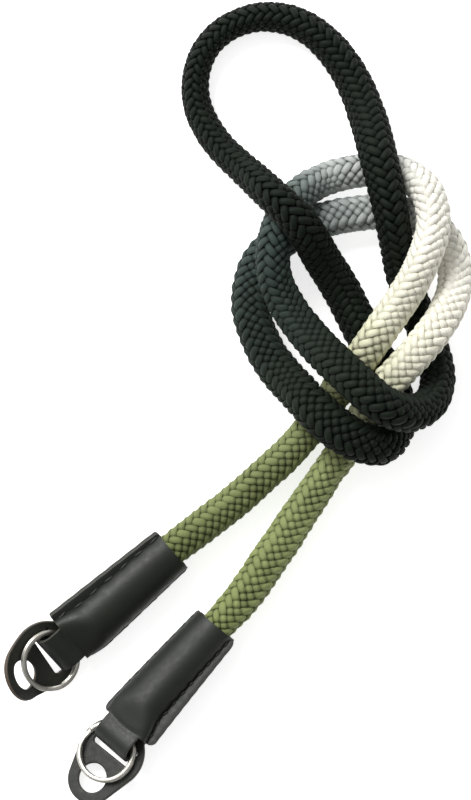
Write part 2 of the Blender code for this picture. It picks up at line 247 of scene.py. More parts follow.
# The knot presses the rope: at places along it, how far its middle lies aside to the left, and its width.
ROPE_SHAPE = (
    (34, 0.0, 1.0),
    (40, 0.2, 1.02),
    (50, 0.7, 0.99),
    (64, 0.2, 0.98),
    (76, 0.4, 0.97),
    (88, 1.3, 0.95),
    (110, 0.0, 1.0),
    (210, 0.0, 0.97),
    (250, 0.0, 1.0),
    (270, 0.5, 1.08),
    (282, 0.6, 1.10),
    (300, 0.3, 1.12),
    (316, 0.0, 1.10),
    (332, 0.0, 1.0),
    (390, 0.0, 1.0),
    (406, -0.25, 1.10),
    (424, -0.3, 1.14),
    (436, 0.2, 1.13),
    (448, 0.75, 1.09),
    (456, 0.8, 1.05),
    (472, 0.3, 1.01),
    (490, -0.4, 0.92),
    (506, -0.1, 0.91),
    (522, 0.5, 0.95),
    (538, 0.0, 0.98),
    (556, -0.5, 1.04),
    (586, -0.8, 1.10),
    (600, -0.5, 1.12),
    (616, -0.5, 1.11),
    (636, 0.0, 1.0),
    (650, -0.4, 1.0),
    (662, -0.5, 1.12),
    (676, 0.1, 1.22),
    (688, 0.3, 1.17),
    (700, 0.4, 1.16),
    (712, 0.2, 1.11),
    (724, 0.0, 1.08),
    (736, -0.4, 1.04),
    (760, -0.1, 1.04),
    (780, 0.0, 1.0),
    (880, 0.0, 1.0),
    (892, -0.5, 0.94),
    (904, 0.5, 1.0),
    (916, 1.25, 1.06),
    (928, 0.9, 1.08),
    (940, 1.1, 1.06),
    (950, 1.3, 1.0),
    (984, 0.0, 1.0),
)

# Leg a is a darker green than leg b: how light the colours are, at places along the rope.
ROPE_LIGHTNESS = ((0, 0.84), (100, 0.86), (130, 1.0), (860, 1.0), (900, 1.14), (984, 1.12))

# Leather, in the ends' own axes: x back from the fold's front to the rope's mouth, y across, z up.
LEATHER = 1.2
SEAM_GAP = 0.2
SLEEVE_LENGTH = 49.7
IN_SLEEVE = SLEEVE_LENGTH - ROPE_ENDS_BACK
FOLD_INSIDE = 7.2
NECK_LENGTH = 8.4
BULGE_STARTS_ROUND = 18.0
BULGE_RADIUS = 6.1
FLANGE_AT_NECK = 10.0
FLANGE_AT_MOUTH = 7.8
FLANGE_HEIGHT = (LEATHER + SEAM_GAP) / 2
FOLD_RADIUS = (FOLD_INSIDE + LEATHER) / 2
FOLD_CENTRE = FOLD_RADIUS + LEATHER / 2
NECK_SHARE = 0.8125
DROOP_STARTS = 7.2
CLOSED_SEAM = 1.1
NARROWEST_FLANGE = 0.6
LEAN_POWER = 1.3

# Each stitch draws the flange's edge and the side of the swelling in a little.
PUCKER = 0.1
PUCKER_STARTS = 0.7

# The crease across the neck: its depth, how far in front of the neck's end its middle is, how far its ends
# curve back, and its width.
NECK_CREASE = 0.45
CREASE_IN_FRONT = 0.4
CREASE_BOW = 1.5
CREASE_WIDTH = 1.3

# The swelling's section is a superellipse, squarer at the neck than where it is round.
NECK_POWER = 4.6
POWER_LOST = 2.6

# The sleeve's mesh: shares across half of it, with 1 where the flange starts and 2 at the flange's edge, and
# steps along it, close together at the neck and at the mouth.
SIDE_SHARES = tuple(np.sin(np.linspace(0, math.pi / 2, 17)))
FLANGE_SHARES = (1.3, 1.65, 2.0)
CLOSEST_SHARES = 0.03
END_STEPS = (0.0, 0.1, 0.3, 0.6, 1.0, 1.5, 2.1, 2.8)
MIDDLE_FROM_ENDS = 3.6
MIDDLE_PLACES = 52
NECK_PLACES = 7
FOLD_STEPS = 18
EDGE_ROUNDING = 0.22
EDGE_SEGMENTS = 2
SLEEVE_SHARP = 50

# A stitch: how far from the neck and from the mouth the first and last may be, half its length as a share of
# the pitch, its slant, its thread, how far it stands out of the leather and dips into it at its ends, and the
# places along it, from -1 to 1.
STITCH_FROM_NECK = 2.9
STITCH_FROM_MOUTH = 1.5
STITCH_FROM_SWELLING = 0.7
STITCH_HALF = 0.3
STITCH_SLANT = 0.12
STITCH_RADIUS = 0.36
STITCH_TIP = 0.02
STITCH_OUT = 0.12
STITCH_DIP = 0.45
STITCH_SIDES = 8
STITCH_PLACES = (-1.0, -0.93, -0.7, -0.3, 0.3, 0.7, 0.93, 1.0)

TAB_THICKNESS = 1.5
TAB_FRONT_RADIUS = 8.0
TAB_BACK_RADIUS = 10.8
TAB_BACK_CENTRE = 9.5
TAB_HOLE_RADIUS = 4.6
TAB_SLOT = (9.0, 15.2)
TAB_SLOT_HALF = 7.3
TAB_SLOT_CORNER = 0.7
TAB_PIVOT = 18.0
TAB_CREASE_HALF = 1.4
TAB_BEND_PLACES = 81
TAB_BACK_STEPS = 48
TAB_FRONT_STEPS = 36
TAB_HOLE_POINTS = 48
TAB_CUT_STEP = 1.1
TAB_EDGE_ROUNDING = 0.25
TAB_EDGE_SEGMENTS = 3
TAB_SHARP = 35

RING_OUTER = 9.5
RING_INNER = 8.0
RING_TURN = 0.9
RING_TURN_GAP = 0.1
RING_PIVOT_INSET = 0.25
RING_SECTION_POINTS = 16
RING_SECTION_POWER = 3
# The wire's two ends and the ramp between its turns, in degrees round the ring.
RING_WIRE = (19, 701)
RING_WIRE_PLACES = 228
RING_RAMP = (345, 375)

PIECE_GAP = 0.4
TAB_HEIGHT = -FOLD_INSIDE / 2 + PIECE_GAP + TAB_THICKNESS / 2
RING_HEIGHT = TAB_HEIGHT + TAB_THICKNESS / 2 + PIECE_GAP + RING_TURN + RING_TURN_GAP / 2

# The rope's colours by distance from its sleeve, in millimetres: both halves fade the same way. The last
# number is painted shade: how much of the colour is left in the grooves between the yarns, where they lie
# low.
ROPE_COLORS = (
    (0, (0.205, 0.238, 0.092), 0.06),
    (60, (0.235, 0.268, 0.115), 0.06),
    (72, (0.380, 0.405, 0.205), 0.15),
    (86, (0.620, 0.625, 0.400), 0.50),
    (104, (0.820, 0.800, 0.650), 0.88),
    (128, (0.900, 0.875, 0.780), 1.00),
    (146, (0.840, 0.825, 0.750), 0.95),
    (160, (0.620, 0.635, 0.605), 0.50),
    (176, (0.430, 0.455, 0.440), 0.12),
    (192, (0.130, 0.160, 0.150), 0.20),
    (208, (0.044, 0.062, 0.055), 0.30),
    (235, (0.021, 0.030, 0.024), 0.30),
    (258, (0.0130, 0.0190, 0.0120), 0.30),
    (280, (0.0085, 0.0125, 0.0085), 0.30),
)
ROPE_FADE_ENDS = ROPE_COLORS[-1][0]
ROPE_FADE_WANDER = 0.02

# The other materials. Grain is the pores' scale, and colours in pairs are mixed in patches.
LEATHERS = {
    "sleeve": {"color": (0.0060, 0.0078, 0.0046), "roughness": 0.52, "grain": 2600.0},
    "tab": {"color": (0.0075, 0.0090, 0.0052), "roughness": 0.56, "grain": 2200.0},
}
LEATHER_PATCH = 1.5
EDGE_COLORS = {"sleeve": (0.045, 0.045, 0.036), "tab": (0.10, 0.070, 0.045)}
EDGE_PATCH = 0.45
THREAD_COLORS = ((0.006, 0.006, 0.005), (0.030, 0.030, 0.024))
STEEL_COLORS = ((0.62, 0.60, 0.54), (0.50, 0.48, 0.43))
STEEL_ROUGHNESS = (0.30, 0.38)
FLOOR_COLORS = ((0.90, 0.90, 0.90), (0.93, 0.93, 0.93))

FLOOR_HALF = 3.0
FLOOR_DROP = 0.3
FLOOR_GLOW = 0.72

# The room is brightest in one direction, its azimuth and elevation in degrees, and falls off away from it:
# the cosines between which it does, and its strength at each.
ROOM_BRIGHTEST = (126, 22)
ROOM_COSINES = (-0.2, 0.95)
ROOM_STRENGTHS = (0.08, 0.85)

# Places of a Mix node's sockets for colours.
MIX_FACTOR, MIX_FIRST, MIX_SECOND, MIX_RESULT = 0, 6, 7, 2
MAP_RANGE_INPUTS = ("From Min", "From Max", "To Min", "To Max")


# Shared helpers.


def blend(value, start, end):
    """0 before start and 1 after end, turning smoothly between them."""
    share = min(max((value - start) / (end - start), 0.0), 1.0)
    return share * share * (3 - 2 * share)


def new_object(name, mesh, *materials):
    for material in materials:
        mesh.materials.append(material)
    obj = bpy.data.objects.new(name, mesh)
    bpy.context.scene.collection.objects.link(obj)
    return obj


def mesh_from(name, points, faces):
    """A smooth mesh with its faces turned outwards, from points in millimetres."""
    mesh = bpy.data.meshes.new(name)
    mesh.from_pydata(np.asarray(points) * MM, [], faces)
    shape = bmesh.new()
    shape.from_mesh(mesh)
    bmesh.ops.recalc_face_normals(shape, faces=shape.faces)
    shape.to_mesh(mesh)
    shape.free()
    mesh.shade_smooth()
    return mesh


class Nodes:
    """A material's node tree, with short calls to add nodes and to link them."""

    def __init__(self, name):
        self.material = bpy.data.materials.new(name)
        self.material.use_nodes = True
        self.tree = self.material.node_tree
        self.shader = self.tree.nodes["Principled BSDF"]

    def add(self, kind, **values):
        node = self.tree.nodes.new("ShaderNode" + kind)
        for key, value in values.items():
            if hasattr(node, key):
                setattr(node, key, value)
            else:
                node.inputs[key.replace("_", " ")].default_value = value
        return node

    def link(self, out, into):
        self.tree.links.new(out, into)

    def attribute(self, name):
        return self.add("Attribute", attribute_name=name).outputs["Fac"]

    def noise(self, scale, detail=3.0, roughness=0.5, vector=None):
        node = self.add("TexNoise", Scale=scale, Detail=detail, Roughness=roughness)
        self.link(vector or self.add("TexCoord").outputs["Object"], node.inputs["Vector"])
        return node.outputs["Fac"]

    def spread(self, value, low, high, to_low=0.0, to_high=1.0):
        """value, from low..high to to_low..to_high."""
        node = self.add("MapRange")
        self.link(value, node.inputs["Value"])
        for name, number in zip(MAP_RANGE_INPUTS, (low, high, to_low, to_high)):
            node.inputs[name].default_value = number
        return node.outputs["Result"]

    def math(self, operation, first, second):
        node = self.add("Math", operation=operation)
        for socket, value in zip(node.inputs, (first, second)):
            if isinstance(value, (int, float)):
                socket.default_value = value
            else:
                self.link(value, socket)
        return node.outputs["Value"]

    def mix(self, kind, factor, first, second):
        """Two colours mixed, each given as a socket or as values."""
        node = self.add("Mix", data_type="RGBA", blend_type=kind)
        for number, value in ((MIX_FACTOR, factor), (MIX_FIRST, first), (MIX_SECOND, second)):
            socket = node.inputs[number]
            if isinstance(value, bpy.types.NodeSocket):
                self.link(value, socket)
            else:
                socket.default_value = value if isinstance(value, float) else (*value, 1.0)
        return node.outputs[MIX_RESULT]

    def grey(self, value):
        """A number as a grey colour."""
        node = self.add("CombineColor")
        for socket in node.inputs:
            self.link(value, socket)
        return node.outputs["Color"]

    def bump(self, height, strength, distance, normal=None):
        node = self.add("Bump", Strength=strength, Distance=distance)
        self.link(height, node.inputs["Height"])
        if normal:
            self.link(normal, node.inputs["Normal"])
        return node.outputs["Normal"]

    def set(self, **values):
        for key, value in values.items():
            socket = self.shader.inputs[key.replace("_", " ")]
            if isinstance(value, bpy.types.NodeSocket):
                self.link(value, socket)
            else:
                socket.default_value = value


# Camera.


def add_camera():
    data = bpy.data.cameras.new("camera")
    data.sensor_fit = "VERTICAL"
    data.sensor_height = SENSOR_HEIGHT
    data.lens = SENSOR_HEIGHT * CAMERA_HEIGHT / (IMAGE_HEIGHT / PIXELS_PER_MM * MM)
    camera = bpy.data.objects.new("camera", data)
    camera.location = (LAYOUT_SHIFT[0] * MM, LAYOUT_SHIFT[1] * MM, CAMERA_HEIGHT)
    bpy.context.scene.collection.objects.link(camera)
    bpy.context.scene.camera = camera


# The rope.


def axis_point(end, back):
    """A point on a sleeve's middle line, this far behind the front of its fold."""
    heading, slope = math.radians(end["heading"]), math.radians(end["slope"])
    level = back * math.cos(slope)
    run = (level * math.cos(heading), level * math.sin(heading), -back * math.sin(slope))
    return tuple(place + step for place, step in zip(end["front"], run))


def rope_route():
    """Every point that the rope's middle line goes through, from inside one sleeve to inside the other."""
    backs = (ROPE_ENDS_BACK, ROPE_PASSES_BACK, SLEEVE_LENGTH)
    start = [axis_point(ENDS["a"], back) for back in backs]
    end = [axis_point(ENDS["b"], back) for back in reversed(backs)]
    return np.array(start + list(ROUTE) + end) + (*LAYOUT_SHIFT, 0.0)


def smooth_curve(points, count):
    """A natural cubic spline through the points, with count places along it."""
    gaps = np.linalg.norm(np.diff(points, axis=0), axis=1) ** 0.5
    knots = np.concatenate([[0.0], np.cumsum(gaps)])
    size = len(points)
    system, right = np.eye(size), np.zeros((size, 3))
    for k in range(1, size - 1):
        before, after = gaps[k - 1], gaps[k]
        system[k, k - 1 : k + 2] = before, 2 * (before + after), after
        right[k] = 6 * ((points[k + 1] - points[k]) / after - (points[k] - points[k - 1]) / before)
    bend = np.linalg.solve(system, right)
    places = np.linspace(0.0, knots[-1], count)
    k = np.clip(np.searchsorted(knots, places, side="right") - 1, 0, size - 2)
    span = gaps[k][:, None]
    from_left = (places - knots[k])[:, None]
    from_right = span - from_left
    curved = (bend[k] * from_right**3 + bend[k + 1] * from_left**3) / (6 * span)
    left = (points[k] / span - bend[k] * span / 6) * from_right
    return curved + left + (points[k + 1] / span - bend[k + 1] * span / 6) * from_left


def unit(vectors):
    return vectors / np.linalg.norm(vectors, axis=-1, keepdims=True)


class Spine:
    """Even places along the rope's middle line, each with two directions across it that don't twist."""

    def __init__(self, step):
        fine = smooth_curve(rope_route(), CURVE_PLACES)
        length = np.concatenate([[0.0], np.cumsum(np.linalg.norm(np.diff(fine, axis=0), axis=1))])
        self.length = length[-1]
        self.along = np.linspace(0.0, self.length, round(self.length / step) + 1)
        self.points = np.stack([np.interp(self.along, length, fine[:, k]) for k in range(3)], axis=1)
        self.left = unit(np.cross((0, 0, 1), np.gradient(self.points, axis=0)))
        places, aside, width = zip(*ROPE_SHAPE)
        self.points += np.interp(self.along, places, aside)[:, None] * self.left
        self.width = np.interp(self.along, places, width)
        self.lightness = np.interp(self.along, *zip(*ROPE_LIGHTNESS))
        self.ways = unit(np.gradient(self.points, axis=0))
        across = [np.cross(self.ways[0], (0, 0, 1))]
        for way in self.ways[1:]:
            across.append(across[-1] - way * (across[-1] @ way))
            across[-1] /= np.linalg.norm(across[-1])
        self.across = np.array(across)
        self.above = np.cross(self.ways, self.across)
        self.radius = np.interp(self.along / self.length, *zip(*ROPE_THICKNESS))
        self.twist = np.radians(np.interp(self.along, *zip(*ROPE_TWIST)))
        self.from_sleeve = np.minimum(self.along, self.length - self.along) - IN_SLEEVE

    def outwards(self, angle):
        return np.cos(angle)[:, None] * self.across + np.sin(angle)[:, None] * self.above


def tube_faces(rings, sides):
    """Faces of a closed tube of rings of points."""
    ring, side = np.meshgrid(np.arange(rings - 1), np.arange(sides), indexing="ij")
    after = (side + 1) % sides
    here, there = ring * sides, (ring + 1) * sides
    corners = (here + side, here + after, there + after, there + side)
    faces = np.stack(corners, axis=-1).reshape(-1, 4).tolist()
    last = (rings - 1) * sides
    return faces + [list(range(sides))[::-1], list(range(last, last + sides))]


def add_values(mesh, name, values):
    attribute = mesh.attributes.new(name, "FLOAT", "POINT")
    attribute.data.foreach_set("value", np.ascontiguousarray(values, dtype=np.float32))


def weave_height(slots):
    """How far the right-hand yarns lie over the left-hand ones, -1 to 1, at each place round the rope."""
    over = np.array([1.0 if letter == "R" else -1.0 for letter in WEAVE])
    whole = np.floor(slots).astype(int)
    part = slots - whole
    before, after = over[whole % len(over)], over[(whole + 1) % len(over)]
    height = before + (after - before) * (1 - np.cos(math.pi * part)) / 2
    height *= np.sqrt((1 + YARN_FLATNESS**2) / (1 + (YARN_FLATNESS * height) ** 2))
    return height + YARN_CROWN * (before + after) / 2 * np.sin(math.pi * part)


def yarn(spine, way, number, random):
    """One yarn's points and their heights in the braid."""
    turn = way * math.tau * spine.along / YARN_TURN + math.tau * number / YARNS_EACH_WAY
    over = way * weave_height(turn * 2 * YARNS_EACH_WAY / math.tau)
    places = np.arange(0.0, spine.length + YARN_WANDER_STEP, YARN_WANDER_STEP)
    uneven = np.interp(spine.along, places, random.normal(0, 1, len(places)))
    size = spine.radius / ROPE_RADIUS
    outwards = spine.outwards(turn + spine.twist)
    lift = (YARN_MIDDLE + YARN_SWING * over + YARN_LIFT_WANDER * uneven) * size
    centre = spine.points + lift[:, None] * outwards
    run = unit(np.gradient(centre, axis=0))
    aside = unit(np.cross(run, outwards))
    outer = np.cross(aside, run)
    share = YARN_MEAN_WIDTH + YARN_WIDER_ON_TOP * over + YARN_WIDTH_WANDER * uneven
    half_wide = YARN_WIDTH / 2 * share * size
    half_thick = YARN_THICKNESS / 2 * size
    rings = centre[:, None] + np.cos(YARN_SECTION)[None, :, None] * (half_wide[:, None] * aside)[:, None]
    rings += np.sin(YARN_SECTION)[None, :, None] * (half_thick[:, None] * outer)[:, None]
    offset = rings - spine.points[:, None]
    distance = np.linalg.norm(offset, axis=2) / size[:, None]
    sideways = (offset * spine.left[:, None]).sum(axis=2) * (spine.width - 1)[:, None]
    rings += sideways[:, :, None] * spine.left[:, None]
    return rings.reshape(-1, 3), distance.reshape(-1)


def braid_part(name, spine, way, first_yarn, material, random):
    """Every second yarn of those that wind one way round the rope."""
    points, faces, height, tone, first = [], [], [], [], 0
    sides = len(YARN_SECTION)
    tube = np.array(tube_faces(len(spine.along), sides)[:-2])
    for number in range(first_yarn, YARNS_EACH_WAY, 2):
        ring_points, ring_height = yarn(spine, way, number, random)
        faces.append(tube + first)
        first += len(ring_points)
        points.append(ring_points)
        height.append(ring_height)
        tone.append(np.repeat(spine.lightness * random.uniform(*YARN_TONES), sides))
    mesh = bpy.data.meshes.new(name)
    mesh.from_pydata(np.concatenate(points) * MM, [], np.concatenate(faces).tolist())
    mesh.shade_smooth()
    add_values(mesh, "from_sleeve", np.tile(np.repeat(spine.from_sleeve, sides), len(points)))
    # Each point's distance from the rope's middle, which the yarn material uses to paint shade into the
    # grooves.
    add_values(mesh, "height", np.concatenate(height))
    add_values(mesh, "tone", np.concatenate(tone))
    return new_object(name, mesh, material)


def rope_core(name, material):
    """The inside of the braid, seen only between the yarns; its material paints it dark, as shade."""
    spine = Spine(CORE_STEP)
    count = len(spine.along)
    rings = []
    for angle in np.arange(CORE_SIDES) * math.tau / CORE_SIDES:
        rings.append(spine.points + spine.outwards(np.full(count, angle)) * CORE_RADIUS)
    mesh = mesh_from(name, np.stack(rings, axis=1).reshape(-1, 3), tube_faces(count, CORE_SIDES))
    add_values(mesh, "from_sleeve", np.repeat(spine.from_sleeve, CORE_SIDES))
    return new_object(name, mesh, material)


def rope_color(nodes):
    """The fade along the rope, from the distance that its points carry, and the share kept by the painted
    groove shade.
    """
    share = nodes.spread(nodes.attribute("from_sleeve"), 0, ROPE_FADE_ENDS)
    wander = nodes.spread(nodes.noise(260.0), 0, 1, -ROPE_FADE_WANDER, ROPE_FADE_WANDER)
    ramp = nodes.add("ValToRGB")
    nodes.link(nodes.math("ADD", share, wander), ramp.inputs["Fac"])
    stops = ramp.color_ramp.elements
    stops.remove(stops[1])
    for number, (place, color, groove_shade) in enumerate(ROPE_COLORS):
        stop = stops[0] if number == 0 else stops.new(place / ROPE_FADE_ENDS)
        stop.position = place / ROPE_FADE_ENDS
        stop.color = (*color, groove_shade)
    return ramp.outputs["Color"], ramp.outputs["Alpha"]


def yarn_material():
    nodes = Nodes("braided_yarn")
    color, groove_shade = rope_color(nodes)
    # Painted shade: the colour darkens where a yarn's point lies low, towards the grooves, down to the share
    # that ROPE_COLORS leaves there.
    top = YARN_MIDDLE + YARN_SWING + YARN_THICKNESS / 2
    rise = nodes.spread(nodes.attribute("height"), top - 1.0, top - 0.05)
    depth = nodes.math("MAXIMUM", rise, groove_shade)
    tone = nodes.attribute("tone")
    speckle = nodes.spread(nodes.noise(2200.0, detail=4.0, roughness=0.7), 0.3, 0.7, 0.86, 1.12)
    shade = nodes.math("MULTIPLY", nodes.math("MULTIPLY", depth, tone), speckle)
    nodes.set(Base_Color=nodes.mix("MULTIPLY", 1.0, color, nodes.grey(shade)))
    fibres = nodes.bump(nodes.noise(5200.0, roughness=0.7), strength=0.4, distance=0.0001)
    nodes.set(Normal=fibres, Roughness=0.62, Specular_IOR_Level=0.12)
    return nodes.material


def core_material():
    nodes = Nodes("rope_core")
    color, groove_shade = rope_color(nodes)
    # Painted shade: the core takes the rope's colour darkened by the grooves' share, as shade between the
    # yarns.
    nodes.set(Base_Color=nodes.mix("MULTIPLY", 1.0, color, nodes.grey(groove_shade)), Roughness=0.95)
    return nodes.material


def add_rope():
    spine = Spine(YARN_STEP)
    random = np.random.default_rng(BRAID_SEED)
    yarns = yarn_material()
    pieces = []
    for side, way in (("right", 1), ("left", -1)):
        for first_yarn in (0, 1):
            name = f"rope_yarns_{side}_{first_yarn + 1}"
            pieces.append(braid_part(name, spine, way, first_yarn, yarns, random))
    pieces.append(rope_core("rope_core", core_material()))
    for piece in pieces:
        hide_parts("rope")
        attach(piece, "strap")
    path = [tuple(point * MM) for point in Spine(PATH_STEP).points]


# Leather ends.


def end_matrix(end):
    x, y, z = end["front"]
    place = Matrix.Translation(((x + LAYOUT_SHIFT[0]) * MM, (y + LAYOUT_SHIFT[1]) * MM, z * MM))
    turned = (math.radians(end["roll"]), math.radians(end["slope"]), math.radians(end["heading"]))
    return place @ Euler(turned, "XYZ").to_matrix().to_4x4()


def leather_material(name, color, roughness, grain):
    nodes = Nodes(name)
    cloud = nodes.noise(90.0, detail=4.0, roughness=0.6)
    paler = [value * LEATHER_PATCH for value in color]
    patch = nodes.mix("MIX", nodes.spread(cloud, 0.35, 0.65), color, paler)
    pores = nodes.add("TexVoronoi", Scale=grain, Randomness=1.0)
    nodes.link(nodes.add("TexCoord").outputs["Object"], pores.inputs["Vector"])
    polish = nodes.noise(700.0, roughness=0.6)
    rough = nodes.spread(polish, 0.3, 0.7, roughness - 0.06, roughness + 0.08)
    fine = nodes.bump(pores.outputs["Distance"], strength=0.35, distance=0.00008)
    coarse = nodes.bump(cloud, strength=0.25, distance=0.0004, normal=fine)
    nodes.set(Base_Color=patch, Roughness=rough, Normal=coarse)
    return nodes.material


def edge_material(name, color):
    """The cut edge of leather: paler, matt and fibrous."""
    nodes = Nodes(name)
    fibres = nodes.noise(1500.0, detail=4.0, roughness=0.7)
    darker = [value * EDGE_PATCH for value in color]
    tint = nodes.mix("MIX", nodes.spread(fibres, 0.3, 0.7), color, darker)
    nodes.set(Base_Color=tint, Roughness=0.8, Normal=nodes.bump(fibres, strength=0.4, distance=0.0001))
    return nodes.material


def thread_material():
    nodes = Nodes("thread")
    tint = nodes.mix("MIX", nodes.noise(3000.0), *THREAD_COLORS)
    nodes.set(Base_Color=tint, Roughness=0.6)
    return nodes.material


def seam_line(back):
    """How far out the flange would reach with square corners."""
    along = (SLEEVE_LENGTH - back) / (SLEEVE_LENGTH - NECK_LENGTH)
    return FLANGE_AT_MOUTH + (FLANGE_AT_NECK - FLANGE_AT_MOUTH) * along


def flange_edge(end, side, back):
    """How far out the flange's cut edge is: its corners are rounded and each stitch draws it in a little."""
    edge = seam_line(back)
    near = ((end["neck_corners"], back - NECK_LENGTH), (end["mouth_corners"], SLEEVE_LENGTH - back))
    for corners, distance in near:
        length, depth = corners[0 if side < 0 else 1]
        if distance < length:
            edge -= depth * (1 - math.sqrt(1 - (1 - distance / length) ** 2))
    return edge - PUCKER / 2 * (1 + math.cos(math.tau * back / end["stitch_pitch"]))


def body_half(end, side, back):
    """Half the width of the swelling: on the side that is rolled under, it reaches almost to the cut edge."""
    roundness = blend(back, NECK_LENGTH, BULGE_STARTS_ROUND)
    widest = seam_line(back) - CLOSED_SEAM if side == end["closed_side"] else BULGE_RADIUS
    return end["neck_bulge"] + (widest - end["neck_bulge"]) * roundness


def crease_depth(back, share):
    """The fold is pinched across the neck, most at the middle."""
    middle = NECK_LENGTH - CREASE_IN_FRONT + CREASE_BOW * share**2
    return NECK_CREASE * math.exp(-(((back - middle) / CREASE_WIDTH) ** 2)) * (1 - share**4)


def body_point(end, side, back, share):
    """Middle of the upper leather: it swells from the flat neck to a round tube with flanges."""
    roundness = blend(back, NECK_LENGTH, BULGE_STARTS_ROUND)
    half = body_half(end, side, back)
    top = FOLD_RADIUS + (BULGE_RADIUS - FOLD_RADIUS) * roundness
    if share > 1:
        edge = max(flange_edge(end, side, back), half + NARROWEST_FLANGE)
        return back, side * (half + (edge - half) * (share - 1)), FLANGE_HEIGHT
    power = NECK_POWER - POWER_LOST * roundness
    rise = (1 - share**power) ** (1 / power)
    wave = PUCKER * math.sin(math.tau * back / end["stitch_pitch"])
    wave *= blend(share, PUCKER_STARTS, 1.0) * roundness
    height = FLANGE_HEIGHT + (top - FLANGE_HEIGHT) * rise - crease_depth(back, share)
    return back, side * (share * half + wave), height


def neck_point(end, side, back, share):
    """The neck's sides droop where it meets the body and are level over the fold."""
    droop = FOLD_RADIUS - crease_depth(NECK_LENGTH, share) - body_point(end, side, NECK_LENGTH, share)[2]
    droop *= blend(back, DROOP_STARTS, NECK_LENGTH)
    return back, side * share * end["neck_bulge"], FOLD_RADIUS - droop - crease_depth(back, share)


def lean(end, points):
    """The sleeve bends a little in its own plane, from the neck to the mouth."""
    length = SLEEVE_LENGTH - NECK_LENGTH
    leaning = []
    for x, y, z in points:
        share = max((x - NECK_LENGTH) / length, 0.0)
        leaning.append((x, y + end["mouth_aside"] * share**LEAN_POWER, z))
    return leaning


def sleeve_sheet(name, end):
    """The middle surface of the strip, from its upper mouth, round the fold, to its lower mouth."""
    shares = [share for share in SIDE_SHARES if abs(share - NECK_SHARE) > CLOSEST_SHARES]
    shares = sorted(shares + [NECK_SHARE, *FLANGE_SHARES])
    narrow = [share for share in shares if share <= NECK_SHARE]
    steps = np.array(END_STEPS)
    first, last = SLEEVE_LENGTH - MIDDLE_FROM_ENDS, NECK_LENGTH + MIDDLE_FROM_ENDS
    middle = np.linspace(first, last, MIDDLE_PLACES)
    upper = []
    for back in np.concatenate([SLEEVE_LENGTH - steps, middle, NECK_LENGTH + steps[::-1]]):
        upper.append([[body_point(end, side, back, share) for side in (-1, 1)] for share in shares])
    for back in np.linspace(NECK_LENGTH, FOLD_CENTRE, NECK_PLACES)[1:]:
        upper.append([[neck_point(end, side, back, share) for side in (-1, 1)] for share in narrow])
    fold = []
    for turn in np.linspace(math.pi / 2, -math.pi / 2, FOLD_STEPS + 1)[1:-1]:
        back, height = FOLD_CENTRE - FOLD_RADIUS * math.cos(turn), FOLD_RADIUS * math.sin(turn)
        halves = [share * end["neck_bulge"] for share in narrow]
        fold.append([[(back, side * half, height) for side in (-1, 1)] for half in halves])
    lower = [[[(x, y, -z) for x, y, z in pair] for pair in row] for row in reversed(upper)]
    rows = upper + fold + lower
    index, points = {}, []
    for number, row in enumerate(rows):
        for column, pair in enumerate(row):
            for side, point in zip((-1, 1), pair):
                if column or side > 0:
                    index[number, column * side] = len(points)
                    points.append(point)
    faces = []
    for number in range(len(rows) - 1):
        reach = min(len(rows[number]), len(rows[number + 1])) - 1
        for column in range(-reach, reach):
            corners = ((number, column), (number, column + 1), (number + 1, column + 1), (number + 1, column))
            faces.append([index[corner] for corner in corners])
    return mesh_from(name, lean(end, points), faces)


def add_stitches(key, end, thread):
    """Thread along both seams, on the upper and the lower leather."""
    points, faces, first = [], [], 0
    angles = np.arange(STITCH_SIDES) * math.tau / STITCH_SIDES
    surface = FLANGE_HEIGHT + LEATHER / 2
    pitch = end["stitch_pitch"]
    backs = np.arange(NECK_LENGTH + STITCH_FROM_NECK, SLEEVE_LENGTH - STITCH_FROM_MOUTH, pitch)
    for number, back in enumerate(backs):
        slant = STITCH_SLANT * (-1) ** number
        for side in (-1, 1):
            seam = body_half(end, side, back) + STITCH_FROM_SWELLING
            for layer in (-1, 1):
                for place in STITCH_PLACES:
                    radius = STITCH_RADIUS * math.sqrt(max(1 - abs(place) ** 3, STITCH_TIP))
                    dip = STITCH_DIP * abs(place) ** 4
                    for angle in angles:
                        x = back + STITCH_HALF * pitch * place
                        y = seam + slant * place + radius * math.cos(angle)
                        height = surface + STITCH_OUT - dip + radius * math.sin(angle)
                        points.append((x, side * y, layer * height))
                tube = tube_faces(len(STITCH_PLACES), STITCH_SIDES)
                faces += [[first + k for k in face] for face in tube]
                first = len(points)
    mesh = mesh_from("stitches_" + key, lean(end, points), faces)
    mesh.transform(end_matrix(end))
    stitches = new_object("stitches_" + key, mesh, thread)
    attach(stitches, "strap")


def add_sleeve(key, end, leather, edge):
    mesh = sleeve_sheet("sleeve_" + key, end)
    mesh.transform(end_matrix(end))
    sleeve = new_object("leather_sleeve_" + key, mesh, leather, edge)
    thick = sleeve.modifiers.new("thickness", "SOLIDIFY")
    thick.thickness = LEATHER * MM
    thick.offset = 0.0
    thick.use_even_offset = True
    thick.material_offset_rim = 1
    round_edge = sleeve.modifiers.new("round_edge", "BEVEL")
    round_edge.width = EDGE_ROUNDING * MM
    round_edge.segments = EDGE_SEGMENTS
    round_edge.limit_method = "ANGLE"
    round_edge.angle_limit = math.radians(SLEEVE_SHARP)
    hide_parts("sleeve_" + key)
    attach(sleeve, "strap")


def arc(centre, radius, start, end, count):
    points = []
    for step in range(count + 1):
        turn = math.radians(start + (end - start) * step / count)
        points.append((centre + radius * math.cos(turn), radius * math.sin(turn)))
    return points


